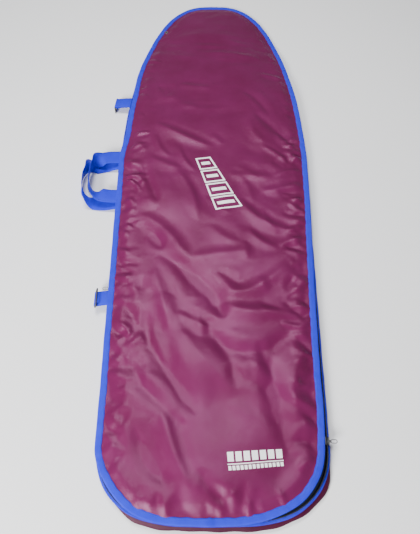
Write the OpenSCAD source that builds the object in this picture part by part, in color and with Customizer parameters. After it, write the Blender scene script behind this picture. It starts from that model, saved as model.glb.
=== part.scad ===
// Padded travel bag for a board: two bound, foam-lined panels joined by a long two-slider zip.
// It lies flat on its bottom panel. +Y runs to the nose, +Z up, and the handles are on the -X side.

/* [Plan shape] */
// Length over the bound edge, from tail to nose
bag_l = 1700; // [1640:10:1760]
// Width over the bound edge at its widest place
bag_w = 543; // [500:1:590]
// Width that the straight sides taper to at the tail
tail_w = 488; // [450:1:520]
// Distance from the tail to the widest place
wide_at = 950; // [900:10:980]
// Length over which the tail corners round off
tail_round = 150; // [120:5:180]
// Length of the fixed nose pocket, in front of the lid
nose_l = 360; // [340:10:380]

/* [Padding] */
// Thickness of the outer shell fabric
shell_t = 1; // [0.6:0.1:1.2]
// Thickness of the foam
foam_t = 5; // [4:0.5:6]
// Thickness of the lining
lining_t = 0.6; // [0.5:0.1:1]
// Height of the middle of the lid above the ground
crown_z = 38; // [34:1:42]

/* [Rim] */
// Width of the folded binding tape, as it shows
binding_w = 15; // [12:1:18]
// Thickness of the binding tape
binding_t = 0.8; // [0.6:0.1:1]
// Height of the seam inside a binding
seam_h = 2.4; // [2:0.1:3]
// Height of the gusset between the two lower bindings
gusset_h = 4.6; // [4:0.2:8]
// How much higher the gusset stands round the tail
tail_lift = 5; // [0:0.5:8]
// How far the slack gusset bulges out behind the tail
gusset_bulge = 9; // [6:0.5:12]

/* [Zip] */
// Height of the zip wall between the upper and lower bindings
zip_h = 10.8; // [10.8:0.1:12]
// Gap between the two rows of coil
coil_gap = 1.6; // [1.6:0.1:2]
// Length of a slider body
slider_l = 16; // [14:1:18]
// Place of the left slider along the bag, from the middle
slider_left_y = -322; // [-500:1:0]
// Place of the right slider along the bag, from the middle
slider_right_y = -688; // [-690:1:0]

/* [Webbing] */
// Width of the handle webbing
handle_w = 44; // [38:1:46]
// Thickness of the handle webbing
handle_t = 2.4; // [2:0.1:3]
// Distance between the legs of a handle, centre to centre
handle_gap = 142; // [130:1:160]
// How far the upper handle reaches out
upper_reach = 80; // [76:1:84]
// How far the lower handle reaches out
lower_reach = 100; // [96:1:108]
// Width of the strap tabs
tab_w = 38; // [34:1:38]

/* [Hidden] */
$fn = 48;

// Places along the bag, measured from its middle
y_tail = -bag_l / 2;
y_nose = bag_l / 2;
y_wide = y_tail + wide_at;
y_round = y_tail + tail_round;
y_fold = y_nose - nose_l;
fold_gap = 1;
nose_power = 2.75;
tail_power = 3.46;
tip_flat = 1.5;

// Rim heights
fin_h = seam_h + 2 * binding_t;
base_z = 0.6;
fork_l = 150;
fork_h = 0.6;
lift_l = 110;
seam_w = 24;
pad_edge = 16;
crown_edge = 130;
edge_in = 2.4;
foam_in = 26;
pad_rise = 1.5;
seam_gap = 0.35;
nose_gap = 0.2;
foam_edge = 0.1;
nose_drop = 13;

// Zip wall, measured in from the outer edge of the bindings
coil_in = 5;
coil_t = 3;
coil_h = 3.4;
tape_t = 0.7;
tape_in = coil_in + coil_t;
coil_lap = 1.8;
zip_start = 108;
stop_l = 5;
stop_gap = 1.2;
stop_in = 4.4;
stop_t = 4.4;
stop_h = 7.2;

// Slider and its pull
plate_t = 2;
plate_in = 2.2;
inner_plate_in = 9.4;
inner_plate_t = 1.4;
slider_h = 9.6;
post_h = 1;
post_l = 9;
lug_h = 1.2;
lug_w = 4.4;
pin_r = 0.9;
pin_top = 2.8;
pin_in = -0.3;
barrel_r = 1.9;
barrel_h = 2.6;
pull_fit = 0.05;
wire_r = 0.8;
pull_half = 3.6;
pull_l = 15;

// Strap tabs and rings
ring_r = 2;
ring_span = 43;
ring_drop = 15;
ring_fit = 0.06;
ply_t = 1.4;
tab_front_y = 328;
tab_rear_y = -352;
tab_front_reach = 42;
tab_rear_reach = 30;
tab_front_z = 18.5;
tab_rear_z = 20;
ring_front_turn = 0;
ring_rear_turn = 200;

// Handles
handle_upper_y = 32;
handle_lower_y = 21;
leg_start = 1.6;
upper_power = 3;
lower_power = 3.2;
upper_flat = 0.5;
lower_flat = 0.6;
upper_rise = 5;
lower_bed = 2.4;
droop_l = 45;
loop_angles = [0, 0.4, 1.5, 4, 8, 13, 19, 26, 34, 43, 53, 64, 77, 90];

// Vent
vent_x = -164;
vent_y = 700;
vent_r = 3;
vent_wall = 0.8;
vent_rise = 1.4;
flange_r = 5.5;
flange_t = 0.8;

function clamp01(t) = min(max(t, 0), 1);
function smooth(t) = let (c = clamp01(t)) c * c * (3 - 2 * c);
function mix(a, b, t) = a + (b - a) * t;

// Half the width of the bag at y: straight tapering sides, rounded off at the nose and the tail
function side_x(y) = bag_w / 2 - (bag_w - tail_w) / 2 * clamp01((y_wide - y) / wide_at);
function round_off(t, power) = pow(max(1 - pow(clamp01(t), 2), 0), 1 / power);
function half_w(y) = side_x(y)
    * round_off((y - y_wide) / (y_nose - y_wide), nose_power)
    * round_off((y_round - y) / tail_round, tail_power);
function row_w(y) = half_w(min(max(y, y_tail + tip_flat), y_nose - tip_flat));
function side_slope(y) = (half_w(y + 1) - half_w(y - 1)) / 2;
// Length measured along x, for each unit of length square to the rim
function tilt(y) = norm([1, side_slope(min(max(y, y_tail + foam_in), y_nose - foam_in))]);

// Heights of the undersides of the bindings
function lift(y) = tail_lift * smooth((y_round + 10 - y) / lift_l);
function low_z(y) = base_z + fin_h + gusset_h + lift(y);
function top_z(y) = low_z(y) + fin_h + mix(fork_h, zip_h, smooth((y_fold - y) / fork_l));
function zip_z(y) = (low_z(y) + fin_h + top_z(y)) / 2;
function nose_h(y) = mix(top_z(y_fold) + fin_h - base_z, 2 * fin_h, smooth((y - y_fold) / fork_l));

// Top surface of the top panel. It rises from the bound seam, over the foam's edge, to the crown
function seam_z(y) = (y > y_fold ? base_z + nose_h(y) : top_z(y) + fin_h)
    - binding_t - seam_gap - nose_gap * smooth((y - y_fold) / 25);
function edge_d(x, y) = min((row_w(y) - abs(x)) / tilt(y), y - y_tail, y_nose - y);
function pad_share(x, y) = smooth((edge_d(x, y) - seam_w) / pad_edge);
function crown_share(x, y) = smooth((edge_d(x, y) - seam_w - 10) / crown_edge);
function middle_z(y) = crown_z - nose_drop * smooth((y - y_fold + 190) / 450);
cover_z = function(x, y) let (e = seam_z(y), step = foam_t + pad_rise)
    e + step * pad_share(x, y) + (middle_z(y) - e - step) * crown_share(x, y);

// Underside of the bottom panel, flat on the ground inside the bound seam
floor_z = function(x, y) (base_z + binding_t + seam_gap) * (1 - pad_share(x, y));

// Grids for the padded panels: rows along y, and in each row columns spaced from the edge.
// first = 0 takes a panel out to its seam, and first = 1 only to the edge of the foam
edge_steps = [edge_in, foam_in, 32, 40, 85, 150];
edge_shares = [1, 0.46, 0.56, 0.66, 0.78, 0.89];
tail_steps = [edge_in, foam_in, 32, 40, 65, 90, 120, 150, 450];
fold_steps = [190, 150, 120, 92, 65, 40, 18];
nose_steps = [335, 310, 285, 260, 230, 205, 160, 110, 70, 50, 40, 32, foam_in, edge_in];
function columns(y, first) = let (
        w = row_w(y),
        half = [for (k = [first:len(edge_steps) - 1]) w - min(edge_steps[k] * tilt(y), w * edge_shares[k])])
    concat([for (x = half) -x], [0], [for (k = [len(half) - 1:-1:0]) half[k]]);
function lid_rows(first) = concat([for (k = [first:len(tail_steps) - 1]) y_tail + tail_steps[k]],
    [y_wide], [for (d = fold_steps) y_fold - d]);
function nose_rows(first) = [for (k = [0:len(nose_steps) - 1 - first]) y_nose - nose_steps[k]];
function lid_ys(first) = concat(lid_rows(first), [y_fold - fold_gap / 2]);
function nose_ys(first) = concat([y_fold + fold_gap / 2], nose_rows(first));
function all_ys(first) = concat(lid_rows(first), [y_fold], nose_rows(first));

// A closed slab between two height functions over a grid
module slab(ys, first, top, bottom) {
    grid = [for (y = ys) [for (x = columns(y, first)) [x, y]]];
    rows = len(ys);
    cols = len(grid[0]);
    count = rows * cols;
    upper = [for (row = grid) for (p = row) [p[0], p[1], top(p[0], p[1])]];
    lower = [for (row = grid) for (p = row) [p[0], p[1], bottom(p[0], p[1])]];
    faces = concat(
        [for (i = [0:rows - 2]) for (j = [0:cols - 2]) let (a = i * cols + j)
            for (f = [[a, a + cols, a + 1], [a + 1, a + cols, a + cols + 1]]) f],
        [for (i = [0:rows - 2]) for (j = [0:cols - 2]) let (a = count + i * cols + j)
            for (f = [[a, a + 1, a + cols], [a + 1, a + cols + 1, a + cols]]) f],
        [for (j = [0:cols - 2]) let (a = j, b = (rows - 1) * cols + j)
            for (f = [[a, a + 1, a + 1 + count], [a, a + 1 + count, a + count],
                      [b + 1, b, b + count], [b + 1, b + count, b + 1 + count]]) f],
        [for (i = [0:rows - 2]) let (a = i * cols, b = i * cols + cols - 1)
            for (f = [[a + cols, a, a + count], [a + cols, a + count, a + cols + count],
                      [b, b + cols, b + cols + count], [b, b + cols + count, b + count]]) f]);
    polyhedron(concat(upper, lower), faces);
}

// The rim as a path from the right of one place, round an end of the bag, to the left of it
tail_angles = [0, 12, 24, 36, 46, 55, 63, 70, 76, 82, 86];
nose_angles = [86, 82, 77, 71, 64, 56, 48];
side_ys = concat([for (k = [len(fold_steps) - 1:-1:0]) y_fold - fold_steps[k]], [y_wide + 40, y_wide]);
function rim_half(from_y) = concat(
    [from_y], [for (y = side_ys) if (y < from_y - 1) y],
    [for (a = tail_angles) y_round - tail_round * sin(a)]);
fork_steps = [130, 100, 75, 50, 25];
function nose_half(from_y) = concat(
    [for (a = nose_angles) y_wide + (y_nose - y_wide) * sin(a)],
    [for (d = fork_steps) y_fold + d], [from_y]);
function tail_path(from_y) = let (ys = rim_half(from_y)) concat(
    [for (y = ys) [half_w(y), y]], [[0, y_tail]],
    [for (i = [len(ys) - 1:-1:0]) [-half_w(ys[i]), ys[i]]]);
function nose_path(from_y) = let (ys = nose_half(from_y)) concat(
    [for (i = [len(ys) - 1:-1:0]) [-half_w(ys[i]), ys[i]]], [[0, y_nose]],
    [for (y = ys) [half_w(y), y]]);

// Outward normal of the rim. At the fold it points straight sideways, so that the pieces meet flush
function rim_normal(path, i) = let (
        last = len(path) - 1,
        d = path[min(i + 1, last)] - path[max(i - 1, 0)],
        n = i == 0 || i == last ? [sign(path[i][0]), 0] : [-d[1], d[0]] / norm(d))
    n;

// A solid swept round the rim. section(y) gives [distance in from the rim, height] points
module rim_sweep(path, section) {
    rings = [for (i = [0:len(path) - 1]) let (n = rim_normal(path, i))
        [for (s = section(path[i][1])) [path[i][0] - n[0] * s[0], path[i][1] - n[1] * s[0], s[1]]]];
    tube(rings);
}

// A closed tube through the rings. A ring's points run out along one side and back along the other
module tube(rings) {
    size = len(rings[0]);
    last = len(rings) - 1;
    faces = concat(
        [for (k = [0:size / 2 - 2]) [k, k + 1, size - 2 - k, size - 1 - k]],
        [for (i = [0:last - 1]) for (k = [0:size - 1])
            let (a = i * size + k, b = i * size + (k + 1) % size)
            for (f = [[a, a + size, b], [b, a + size, b + size]]) f],
        [for (k = [0:size / 2 - 2]) [for (c = [size - 1 - k, size - 2 - k, k + 1, k]) last * size + c]]);
    polyhedron([for (r = rings) for (p = r) p], faces);
}

function box_section(in0, in1, z0, z1) = [[in0, z0], [in0, z1], [in1, z1], [in1, z0]];
// Binding tape folded round a seam: a channel that is open towards the inside of the bag
function fold_section(z, h) = [[binding_w, z], [0, z], [0, z + h], [binding_w, z + h],
    [binding_w, z + h - binding_t], [binding_t, z + h - binding_t],
    [binding_t, z + binding_t], [binding_w, z + binding_t]];

// Puts its children at the left rim at y: their -X is outwards and their +Y runs along the rim
module left_side(y) {
    translate([-half_w(y), y, 0]) rotate([0, 0, atan(side_slope(y))]) children();
}
module right_side(y) {
    mirror([1, 0, 0]) left_side(y) children();
}

module bottom_shell() {
    color("#6d2447") slab(all_ys(0), 0, function(x, y) floor_z(x, y) + shell_t, floor_z);
}
// Top of the bottom panel's filling, which the lining lies on
bed_z = function(x, y) floor_z(x, y) + shell_t + max(foam_t * pad_share(x, y), foam_edge);
module bottom_foam() {
    color("#e8e6df") slab(all_ys(1), 1, bed_z, function(x, y) floor_z(x, y) + shell_t);
}
module bottom_lining() {
    color("#9b9ea3") slab(all_ys(0), 0, function(x, y) bed_z(x, y) + lining_t, bed_z);
}
module bottom_binding() {
    color("#3b3fc4") rim_sweep(tail_path(y_fold), function(y) fold_section(base_z, fin_h));
}

// Gusset wall between the two lower bindings, folded outwards where it is slack
function bulge(y) = mix(-1, gusset_bulge, smooth((y_round + 60 - y) / 160));
gusset_section = function(y) let (
        z0 = base_z + fin_h, z1 = low_z(y), mid = (z0 + z1) / 2, out = -bulge(y))
    [[3, z0], [out, mid], [3, z1], [4.4, z1], [out + 1.4, mid], [4.4, z0]];
module side_gusset() {
    color("#6d2447") rim_sweep(tail_path(y_fold), gusset_section);
}
module gusset_binding() {
    color("#3b3fc4") rim_sweep(tail_path(y_fold), function(y) fold_section(low_z(y), fin_h));
}

// The two halves of the zip: a tape from each binding, with a row of coil along its edge
module zip_tape_lower() {
    color("#14161f") rim_sweep(tail_path(y_fold - zip_start), function(y) box_section(
        tape_in, tape_in + tape_t, low_z(y) + fin_h, zip_z(y) - coil_gap / 2 - coil_h + coil_lap));
}
module zip_coil_lower() {
    color("#20232e") rim_sweep(tail_path(y_fold - zip_start), function(y) box_section(
        coil_in, coil_in + coil_t, zip_z(y) - coil_gap / 2 - coil_h, zip_z(y) - coil_gap / 2));
}
module zip_tape_upper() {
    color("#14161f") rim_sweep(tail_path(y_fold - zip_start), function(y) box_section(
        tape_in, tape_in + tape_t, zip_z(y) + coil_gap / 2 + coil_h - coil_lap, top_z(y)));
}
module zip_coil_upper() {
    color("#20232e") rim_sweep(tail_path(y_fold - zip_start), function(y) box_section(
        coil_in, coil_in + coil_t, zip_z(y) + coil_gap / 2, zip_z(y) + coil_gap / 2 + coil_h));
}
module zip_stop() {
    color("#3a3d44") translate([stop_in, stop_gap, low_z(y_fold) + fin_h]) cube([stop_t, stop_l, stop_h]);
}
module zip_stop_left() {
    left_side(y_fold - zip_start) zip_stop();
}
module zip_stop_right() {
    right_side(y_fold - zip_start) zip_stop();
}

// The fixed nose pocket, whose top panel is bound to the bottom panel round the nose
cover_shell_z = function(x, y) cover_z(x, y) - shell_t;
cover_foam_z = function(x, y) cover_shell_z(x, y) - max(foam_t * pad_share(x, y), foam_edge);
cover_lining_z = function(x, y) cover_foam_z(x, y) - lining_t;
module vent_hole() {
    translate([vent_x, vent_y, 0]) cylinder(h = crown_z, r = vent_r + vent_wall);
}
module nose_shell() {
    color("#6d2447") difference() {
        slab(nose_ys(0), 0, cover_z, cover_shell_z);
        vent_hole();
    }
}
module nose_foam() {
    color("#e8e6df") difference() {
        slab(nose_ys(1), 1, cover_shell_z, cover_foam_z);
        vent_hole();
    }
}
module nose_lining() {
    color("#9b9ea3") difference() {
        slab(nose_ys(0), 0, cover_foam_z, cover_lining_z);
        vent_hole();
    }
}
module nose_binding() {
    color("#3b3fc4") rim_sweep(nose_path(y_fold + fold_gap / 2),
        function(y) fold_section(base_z, nose_h(y)));
}
module vent_eyelet() {
    vent_z = seam_z(vent_y) + vent_rise;
    barrel = vent_rise + shell_t + lining_t + 2 * flange_t;
    color("#c9ccd0") translate([vent_x, vent_y, vent_z]) difference() {
        union() {
            cylinder(h = flange_t, r = flange_r);
            translate([0, 0, -barrel + flange_t]) cylinder(h = barrel, r = vent_r + vent_wall);
        }
        translate([0, 0, -barrel]) cylinder(h = 2 * barrel, r = vent_r);
    }
}
module vent_washer() {
    color("#c9ccd0") translate([vent_x, vent_y, seam_z(vent_y) - shell_t - lining_t - flange_t])
        difference() {
            cylinder(h = flange_t, r = flange_r);
            translate([0, 0, -flange_t]) cylinder(h = 3 * flange_t, r = vent_r + vent_wall);
        }
}

// The lid, which is the top panel behind the fold line
module lid_shell() {
    color("#7a2a50") slab(lid_ys(0), 0, cover_z, cover_shell_z);
}
module lid_foam() {
    color("#e8e6df") slab(lid_ys(1), 1, cover_shell_z, cover_foam_z);
}
module lid_lining() {
    color("#9b9ea3") slab(lid_ys(0), 0, cover_foam_z, cover_lining_z);
}
module lid_binding() {
    color("#4348d8") rim_sweep(tail_path(y_fold - fold_gap / 2), function(y) fold_section(top_z(y), fin_h));
}

// Slider: two plates astride the coil, joined by a post between the rows, with lugs and a pin outside
module slider(z) {
    color("#8d9096") translate([0, 0, z]) {
        translate([plate_in, -slider_l / 2, -slider_h / 2])
            cube([plate_t, slider_l, slider_h]);
        translate([inner_plate_in, -slider_l / 2, -slider_h / 2])
            cube([inner_plate_t, slider_l, slider_h]);
        translate([plate_in + plate_t / 2, -post_l / 2, -post_h / 2])
            cube([inner_plate_in - plate_in, post_l, post_h]);
        for (side = [-1, 1]) {
            translate([pin_in - lug_w / 2, -lug_w / 2, side * (pin_top - lug_h / 2) - lug_h / 2])
                cube([plate_in - pin_in + lug_w / 2 + plate_t / 2, lug_w, lug_h]);
        }
        translate([pin_in, 0, -pin_top]) cylinder(h = 2 * pin_top, r = pin_r);
    }
}
// Pull: a barrel on the slider's pin, with a loop of wire that points straight out
module pull(z) {
    near_x = pin_in - barrel_r + wire_r / 2 - pull_half;
    far_x = pin_in - pull_l + pull_half;
    color("#a9acb1") translate([0, 0, z]) {
        translate([pin_in, 0, -barrel_h / 2]) difference() {
            cylinder(h = barrel_h, r = barrel_r);
            translate([0, 0, -barrel_h]) cylinder(h = 3 * barrel_h, r = pin_r + pull_fit);
        }
        difference() {
            union() {
                translate([near_x, 0, 0]) rotate([0, 0, -90])
                    rotate_extrude(angle = 180) translate([pull_half, 0]) circle(r = wire_r);
                translate([far_x, 0, 0]) rotate([0, 0, 90])
                    rotate_extrude(angle = 180) translate([pull_half, 0]) circle(r = wire_r);
                for (side = [-1, 1]) {
                    translate([far_x, side * pull_half, 0]) rotate([0, 90, 0])
                        cylinder(h = near_x - far_x, r = wire_r);
                }
            }
            translate([pin_in, 0, -barrel_h]) cylinder(h = 2 * barrel_h, r = (pin_r + barrel_r) / 2);
        }
    }
}
module slider_left() {
    left_side(slider_left_y) slider(zip_z(slider_left_y));
}
module pull_left() {
    left_side(slider_left_y) pull(zip_z(slider_left_y));
}
module slider_right() {
    right_side(slider_right_y) slider(zip_z(slider_right_y));
}
module pull_right() {
    right_side(slider_right_y) pull(zip_z(slider_right_y));
}

// Strap tab: two plies of webbing from the binding, folded round the bar of a rectangular ring
module strap_tab(y, reach, z) {
    ply_z = top_z(y) + fin_h / 2;
    color("#3b3fc4") left_side(y) translate([0, tab_w / 2, 0]) rotate([90, 0, 0])
        linear_extrude(tab_w) difference() {
            union() {
                translate([-reach, z]) circle(r = ring_r + ring_fit + ply_t);
                polygon([[0, ply_z - ply_t], [0, ply_z + ply_t], [-reach, z + ply_t], [-reach, z - ply_t]]);
            }
            translate([-reach, z]) circle(r = ring_r + ring_fit);
        }
}
module strap_ring(y, reach, z, turn) {
    color("#1b1c20") left_side(y) translate([-reach, 0, z]) rotate([0, turn, 0]) {
        for (bar_z = [0, -ring_drop]) {
            translate([0, -ring_span / 2, bar_z]) rotate([-90, 0, 0]) cylinder(h = ring_span, r = ring_r);
        }
        for (side = [-1, 1]) {
            translate([0, side * ring_span / 2, -ring_drop]) cylinder(h = ring_drop, r = ring_r);
            translate([0, side * ring_span / 2, -ring_drop]) sphere(r = ring_r);
            translate([0, side * ring_span / 2, 0]) sphere(r = ring_r);
        }
    }
}
module strap_tab_front() {
    strap_tab(tab_front_y, tab_front_reach, tab_front_z);
}
module strap_tab_rear() {
    strap_tab(tab_rear_y, tab_rear_reach, tab_rear_z);
}
module strap_ring_front() {
    strap_ring(tab_front_y, tab_front_reach, tab_front_z, ring_front_turn);
}
module strap_ring_rear() {
    strap_ring(tab_rear_y, tab_rear_reach, tab_rear_z, ring_rear_turn);
}

// Handle: a loop of webbing whose legs lie flat and whose far part twists up onto its edge
function loop_place(a, reach, power) = [
    -leg_start - (reach - leg_start) * pow(abs(sin(a)), 2 / power),
    handle_gap / 2 * sign(cos(a)) * pow(abs(cos(a)), 2 / power)];
function loop_twist(x, reach, flat) = 90 * smooth((-x - flat * reach) / (reach - flat * reach));
module webbing_loop(reach, power, flat, height) {
    angles = concat(loop_angles, [for (i = [len(loop_angles) - 2:-1:0]) 180 - loop_angles[i]]);
    last = len(angles) - 1;
    path = [for (a = angles) loop_place(a, reach, power)];
    rings = [for (i = [0:last]) let (
            d = i == 0 ? [-1, 0] : i == last ? [1, 0] : path[i + 1] - path[i - 1],
            along = [d[0], d[1], 0] / norm(d),
            outer = cross(along, [0, 0, 1]),
            twist = loop_twist(path[i][0], reach, flat),
            wide = (outer * cos(twist) + [0, 0, sin(twist)]) * handle_w / 2,
            thick = cross(along, wide) / norm(wide) * handle_t / 2,
            centre = [path[i][0], path[i][1], height(-path[i][0], sin(twist))])
        [centre + wide + thick, centre - wide + thick, centre - wide - thick, centre + wide - thick]];
    color("#3b3fc4") tube(rings);
}
module handle_upper() {
    seam = top_z(handle_upper_y) + fin_h / 2;
    left_side(handle_upper_y) webbing_loop(upper_reach, upper_power, upper_flat,
        function(out, up) seam + upper_rise * smooth(out / upper_reach));
}
module handle_lower() {
    seam = low_z(handle_lower_y) + fin_h / 2;
    left_side(handle_lower_y) webbing_loop(lower_reach, lower_power, lower_flat,
        function(out, up) mix(seam, lower_bed, smooth(out / droop_l)) + up * handle_w / 2);
}

bottom_shell();
bottom_foam();
bottom_lining();
bottom_binding();
side_gusset();
gusset_binding();
zip_tape_lower();
zip_coil_lower();
zip_stop_left();
zip_stop_right();
nose_shell();
nose_foam();
nose_lining();
nose_binding();
vent_eyelet();
vent_washer();
lid_shell();
lid_foam();
lid_lining();
lid_binding();
zip_tape_upper();
zip_coil_upper();
slider_left();
pull_left();
slider_right();
pull_right();
strap_tab_front();
strap_tab_rear();
strap_ring_front();
strap_ring_rear();
handle_upper();
handle_lower();
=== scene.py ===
"""Looks of the padded board bag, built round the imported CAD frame. Metres; +Y to the nose, +Z up."""

import math

import bpy
import numpy as np
from mathutils import Matrix, Vector
from mathutils.geometry import delaunay_2d_cdt


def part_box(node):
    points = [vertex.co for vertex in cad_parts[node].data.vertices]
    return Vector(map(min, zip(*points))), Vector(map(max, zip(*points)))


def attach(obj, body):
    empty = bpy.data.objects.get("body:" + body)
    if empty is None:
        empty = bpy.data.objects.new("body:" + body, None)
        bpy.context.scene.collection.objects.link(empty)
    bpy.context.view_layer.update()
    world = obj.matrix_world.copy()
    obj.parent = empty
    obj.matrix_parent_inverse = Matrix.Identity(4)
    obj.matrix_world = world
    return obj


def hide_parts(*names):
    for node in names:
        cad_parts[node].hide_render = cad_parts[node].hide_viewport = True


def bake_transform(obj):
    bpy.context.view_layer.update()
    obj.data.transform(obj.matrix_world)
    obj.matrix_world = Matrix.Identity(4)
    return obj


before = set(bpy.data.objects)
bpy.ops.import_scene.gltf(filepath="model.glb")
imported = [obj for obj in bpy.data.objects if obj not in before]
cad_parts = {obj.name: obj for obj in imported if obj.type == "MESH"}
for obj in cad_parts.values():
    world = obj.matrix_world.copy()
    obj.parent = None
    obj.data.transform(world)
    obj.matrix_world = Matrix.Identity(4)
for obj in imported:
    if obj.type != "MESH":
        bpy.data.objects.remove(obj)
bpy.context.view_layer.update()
MM = 0.001

# ---------------------------------------------------------------- the bag's plan, from the frame
LOW_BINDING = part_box("bottom_binding")
NOSE_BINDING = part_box("nose_binding")
HALF_W = LOW_BINDING[1][0]
Y_TAIL = LOW_BINDING[0][1]
Y_NOSE = NOSE_BINDING[1][1]
Y_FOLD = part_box("lid_binding")[1][1] + 0.5 * MM
BASE_Z = LOW_BINDING[0][2]
FIN_H = LOW_BINDING[1][2] - BASE_Z
TAIL_HALF = 244 * MM
WIDE_Y = Y_TAIL + 950 * MM
ROUND_Y = Y_TAIL + 150 * MM
GUSSET_H = 4.6 * MM
TAIL_LIFT = 5 * MM
FORK_L = 150 * MM
FORK_H = 0.6 * MM
ZIP_H = 10.8 * MM
TAPE_T = 0.8 * MM
BINDING_W = 15 * MM
CROWN_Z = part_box("lid_shell")[1][2]
NOSE_DROP = 13 * MM
FOAM_T = 5 * MM


def clamp(t):
    return np.clip(t, 0.0, 1.0)


def smooth(t):
    t = clamp(t)
    return t * t * (3 - 2 * t)


def mix(a, b, t):
    return a + (b - a) * t


def half_w(y):
    """Half the bag's width at y."""
    side = HALF_W - (HALF_W - TAIL_HALF) * clamp((WIDE_Y - y) / (WIDE_Y - Y_TAIL))
    nose = np.maximum(1 - clamp((y - WIDE_Y) / (Y_NOSE - WIDE_Y)) ** 2, 0) ** (1 / 2.75)
    tail = np.maximum(1 - clamp((ROUND_Y - y) / (ROUND_Y - Y_TAIL)) ** 2, 0) ** (1 / 3.46)
    return side * nose * tail


def low_z(y):
    """Underside of the gusset's binding."""
    return BASE_Z + FIN_H + GUSSET_H + TAIL_LIFT * smooth((ROUND_Y + 0.010 - y) / 0.110)


def top_z(y):
    """Underside of the lid's binding."""
    return low_z(y) + FIN_H + mix(FORK_H, ZIP_H, smooth((Y_FOLD - y) / FORK_L))


def nose_top(y):
    """Top of the nose binding."""
    return BASE_Z + mix(top_z(Y_FOLD) + FIN_H - BASE_Z, 2 * FIN_H, smooth((y - Y_FOLD) / FORK_L))


def seam_z(y):
    return np.where(y > Y_FOLD, nose_top(y), top_z(y) + FIN_H) - TAPE_T - 0.2 * MM


def edge_d(x, y):
    """Roughly how far a point is in from the rim."""
    yc = np.clip(y, Y_TAIL + 0.010, Y_NOSE - 0.010)
    slope = (half_w(yc + MM) - half_w(yc - MM)) / (2 * MM)
    return np.minimum((half_w(y) - abs(x)) / np.sqrt(1 + slope ** 2), np.minimum(y - Y_TAIL, Y_NOSE - y))


def cover_z(x, y):
    """The top panel without its folds."""
    d = edge_d(x, y)
    middle = CROWN_Z - NOSE_DROP * smooth((y - Y_FOLD + 0.190) / 0.450)
    edge = seam_z(y)
    return (edge + (FOAM_T + 1.5 * MM) * smooth((d - 0.012) / 0.032)
            + (middle - edge - FOAM_T - 1.5 * MM) * smooth((d - 0.034) / 0.130))


def lid_place(x, y):
    """Where a point of the top panel sits. In places the filling draws the lid's rim inwards."""
    s = clamp((x / np.maximum(half_w(y), 0.02) + 1) / 2)
    left = 8 * MM * smooth((y - 0.10) / 0.10) * smooth((0.47 - y) / 0.12)
    left = left + 8 * MM * smooth((-0.705 - y) / 0.08)
    right = 10 * MM * smooth((0.05 - y) / 0.55) + 4 * MM * smooth((-0.62 - y) / 0.12)
    corner = smooth((-0.68 - y) / 0.12)
    up = corner * (7 * MM * smooth((x - 0.05) / 0.12) + 3 * MM * smooth((-0.15 - x) / 0.06))
    return x + (left * (1 - s) - right * s) * (y < Y_FOLD), y + up


# ---------------------------------------------------------------- materials
def node(tree, kind, **values):
    """A shader node with these properties or inputs set."""
    n = tree.nodes.new(kind)
    for key, value in values.items():
        if hasattr(n, key):
            setattr(n, key, value)
        else:
            n.inputs[key.replace("_", " ")].default_value = value
    return n


def math_node(tree, operation, a, b=None):
    """The output of a Math node, whose inputs are numbers or sockets."""
    n = tree.nodes.new("ShaderNodeMath")
    n.operation = operation
    for i, value in enumerate((a, b)):
        if value is None:
            continue
        if hasattr(value, "is_linked"):
            tree.links.new(value, n.inputs[i])
        else:
            n.inputs[i].default_value = value
    return n.outputs[0]


def wave(tree, coords, axis, period):
    """A ridge pattern across one axis, with this period in metres."""
    split = tree.nodes.new("ShaderNodeSeparateXYZ")
    tree.links.new(coords, split.inputs[0])
    angle = math_node(tree, "MULTIPLY_ADD", split.outputs[axis], 2 * math.pi / period)
    angle.node.inputs[2].default_value = 0.0
    return math_node(tree, "MULTIPLY_ADD", math_node(tree, "SINE", angle), 0.5)


def new_material(name, colour, roughness, metallic=0.0, sheen=0.0, sheen_tint=None, specular=0.5):
    m = bpy.data.materials.new(name)
    m.use_nodes = True
    t = m.node_tree
    bsdf = t.nodes["Principled BSDF"]
    bsdf.inputs["Base Color"].default_value = (*colour, 1)
    bsdf.inputs["Roughness"].default_value = roughness
    bsdf.inputs["Metallic"].default_value = metallic
    bsdf.inputs["Specular IOR Level"].default_value = specular
    if not metallic:
        towards_white = [mix(v, 1.0, 0.17) for v in sheen_tint or (1, 1, 1)]
        bsdf.inputs["Specular Tint"].default_value = (*towards_white, 1)
    if sheen:
        bsdf.inputs["Sheen Weight"].default_value = sheen
        bsdf.inputs["Sheen Roughness"].default_value = 0.35
        bsdf.inputs["Sheen Tint"].default_value = (*(sheen_tint or (1, 1, 1)), 1)
    m.diffuse_color = (*colour, 1)
    return m, t, bsdf


def noise(tree, coords, scale, detail=3.0, rough=0.5):
    n = node(tree, "ShaderNodeTexNoise", Scale=scale, Detail=detail, Roughness=rough)
    tree.links.new(coords, n.inputs["Vector"])
    return n.outputs["Fac"]


def bump(tree, bsdf, height, distance, strength=1.0, after=None):
    n = node(tree, "ShaderNodeBump", Strength=strength, Distance=distance)
    tree.links.new(height, n.inputs["Height"])
    if after is not None:
        tree.links.new(after, n.inputs["Normal"])
    tree.links.new(n.outputs[0], bsdf.inputs["Normal"])
    return n.outputs[0]


def tint(tree, bsdf, colour, other, factor):
    n = tree.nodes.new("ShaderNodeMix")
    n.data_type = "RGBA"
    n.inputs[6].default_value = (*colour, 1)
    n.inputs[7].default_value = (*other, 1)
    tree.links.new(factor, n.inputs[0])
    tree.links.new(n.outputs[2], bsdf.inputs["Base Color"])
    return n.outputs[2]


def uv_coords(tree):
    n = tree.nodes.new("ShaderNodeUVMap")
    n.uv_map = "plan"
    return n.outputs[0]


def object_coords(tree):
    return tree.nodes.new("ShaderNodeTexCoord").outputs["Object"]


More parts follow.
